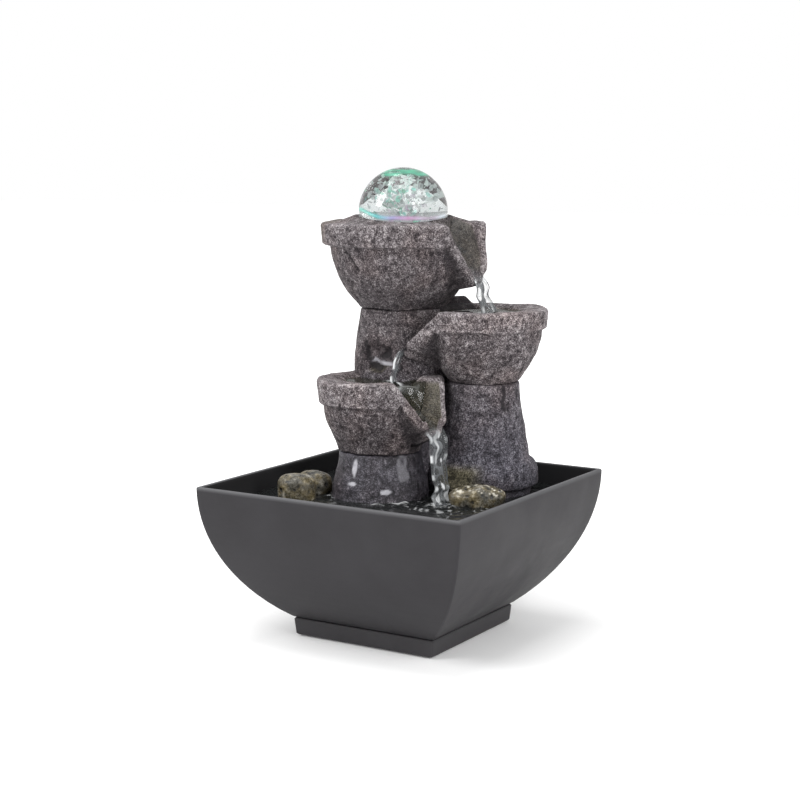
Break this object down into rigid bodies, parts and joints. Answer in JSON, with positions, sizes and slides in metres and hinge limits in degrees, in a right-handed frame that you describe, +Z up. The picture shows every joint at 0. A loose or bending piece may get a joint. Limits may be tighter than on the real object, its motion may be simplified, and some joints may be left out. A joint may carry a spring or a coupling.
{
  "type": "tabletop water fountain",
  "caption": "Tabletop fountain: a square charcoal basin with a cast stone cascade of round bowls, a glass ball that turns on the top one, and a pump and lamp inside.",
  "frame": {"origin": "on the ground under the middle of the basin, at the underside of the rubber feet", "axes": "+Z up; the basin's sides lie along X and Y; -Y is the front side, with the low bowl nearest to it, and the bowls spill towards +X"},
  "size_m": [0.195, 0.1972, 0.3044],
  "materials": {
    "basin_plastic": "moulded, softly satin, charcoal",
    "plinth_plastic": "moulded, matt",
    "foot_rubber": "matt",
    "insert_stone": "cast resin and stone powder, rough",
    "pillar_stone": "cast resin and stone powder, rough, wet below",
    "bowl_stone": "cast resin and stone powder, stippled rim band",
    "rock_stone": "cast resin and stone powder, olive brown, wet",
    "ball_glass": "clear, crackled inside, faint rainbow tint",
    "clear_plastic": "clear",
    "lamp_plastic": "smooth",
    "lamp_board": "white solder mask",
    "lamp_emitter": "yellow phosphor",
    "seal_rubber": "smooth",
    "tube_vinyl": "milky clear vinyl",
    "lead_sheath": "smooth",
    "pump_plastic": "moulded",
    "potting_resin": "cast",
    "core_steel": "laminated",
    "coil_copper": "enamelled copper wire, wound",
    "magnet_ferrite": "sintered ferrite",
    "shaft_ceramic": "ground",
    "white_plastic": "moulded"
  },
  "bodies": {
    "basin": {"basin": "basin_plastic", "plinth": "plinth_plastic", "foot_front_right": "foot_rubber", "foot_front_left": "foot_rubber", "foot_rear_right": "foot_rubber", "foot_rear_left": "foot_rubber", "cord_grommet": "seal_rubber", "pump_body": "pump_plastic", "stator_core": "core_steel", "stator_coil": "coil_copper", "pump_potting": "potting_resin", "pump_cord_gland": "seal_rubber", "volute_cover": "pump_plastic", "rotor_shaft": "shaft_ceramic", "rotor_front_bush": "seal_rubber", "rotor_rear_bush": "seal_rubber", "suction_cup_a": "seal_rubber", "suction_cup_b": "seal_rubber", "suction_cup_c": "seal_rubber", "suction_cup_d": "seal_rubber"},
    "sculpture": {"sculpture_base": "insert_stone", "tall_pillar": "pillar_stone", "middle_pillar": "pillar_stone", "low_pillar": "pillar_stone", "top_bowl": "bowl_stone", "middle_bowl": "bowl_stone", "low_bowl": "bowl_stone", "left_rock": "rock_stone", "rear_rock": "rock_stone", "front_rock": "rock_stone", "small_rock": "rock_stone", "ball_seat": "clear_plastic", "lamp_housing": "lamp_plastic", "lamp_board": "lamp_board", "lamp_emitter": "lamp_emitter", "lamp_seal_ring": "seal_rubber", "lamp_lens": "clear_plastic", "riser_tube": "tube_vinyl", "lamp_lead": "lead_sheath", "lamp_lead_plug": "lead_sheath"},
    "ball": {"crystal_ball": "ball_glass"},
    "rotor": {"rotor_magnet": "magnet_ferrite", "impeller": "white_plastic"},
    "strainer": {"strainer_cover": "pump_plastic"},
    "dial": {"flow_dial": "white_plastic"}
  },
  "joints": [
    {"name": "sculpture_lift", "type": "slide", "parent": "basin", "child": "sculpture", "axis": [0, 0, 1], "range_m": [0, 0.1]},
    {"name": "ball_spin", "type": "hinge", "parent": "sculpture", "child": "ball", "pos_m": [-0.0265, 0.0415, 0.2744], "axis": [0, 0, 1], "continuous": true},
    {"name": "impeller_spin", "type": "hinge", "parent": "basin", "child": "rotor", "pos_m": [-0.0117, 0.022, 0.0456], "axis": [1, 0, 0], "continuous": true},
    {"name": "strainer_slide", "type": "slide", "parent": "basin", "child": "strainer", "axis": [-1, 0, 0], "range_m": [0, 0.01]},
    {"name": "flow_dial_turn", "type": "hinge", "parent": "strainer", "child": "dial", "pos_m": [-0.0326, 0.022, 0.0456], "axis": [1, 0, 0], "range_deg": [0, 90]}
  ]
}
